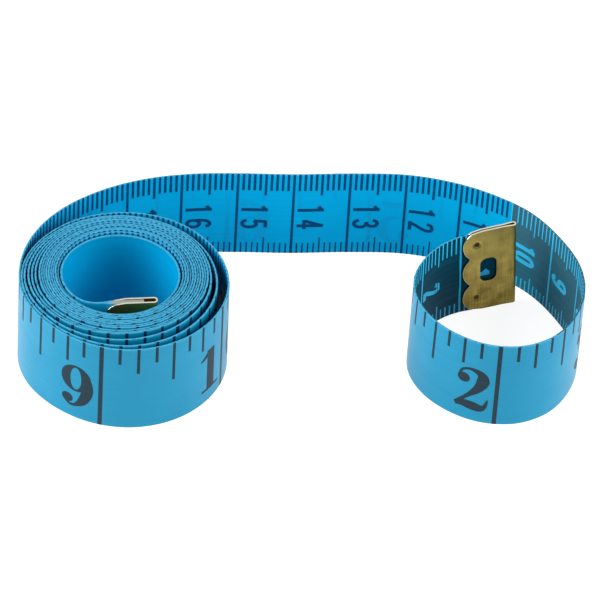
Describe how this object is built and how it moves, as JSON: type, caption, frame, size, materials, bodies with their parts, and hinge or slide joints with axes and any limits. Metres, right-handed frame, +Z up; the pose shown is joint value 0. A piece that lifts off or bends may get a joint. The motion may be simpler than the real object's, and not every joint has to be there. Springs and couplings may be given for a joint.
{
  "type": "cloth tape measure",
  "caption": "Coated cloth tape measure standing on edge, rolled up with its free end run out behind the roll and curled into a loop, a folded brass clip binding each end.",
  "frame": {"origin": "under the middle of the whole object, on the surface that the tape's lower edge stands on", "axes": "+X from the roll to the end loop, +Y from the viewer's side to the straight stretch behind, +Z up along the tape's width"},
  "size_m": [0.098, 0.0502, 0.018],
  "materials": {
    "tape": "coated cloth with a satin face and printed scales",
    "clip": "dull stamped brass"
  },
  "bodies": {
    "roll": {"tape_roll": "tape", "end_clip": "clip"},
    "stretch": {"free_stretch": "tape"},
    "loop": {"end_loop": "tape", "start_clip": "clip"}
  },
  "joints": [
    {"name": "free_end_swing", "type": "hinge", "parent": "roll", "child": "stretch", "pos_m": [-0.04883, -0.00765, 0.009], "axis": [0, 0, 1], "range_deg": [-4, 60]},
    {"name": "end_loop_flex", "type": "hinge", "parent": "stretch", "child": "loop", "pos_m": [0.01722, 0.02506, 0.009], "axis": [0, 0, 1], "range_deg": [-20, 60]}
  ]
}
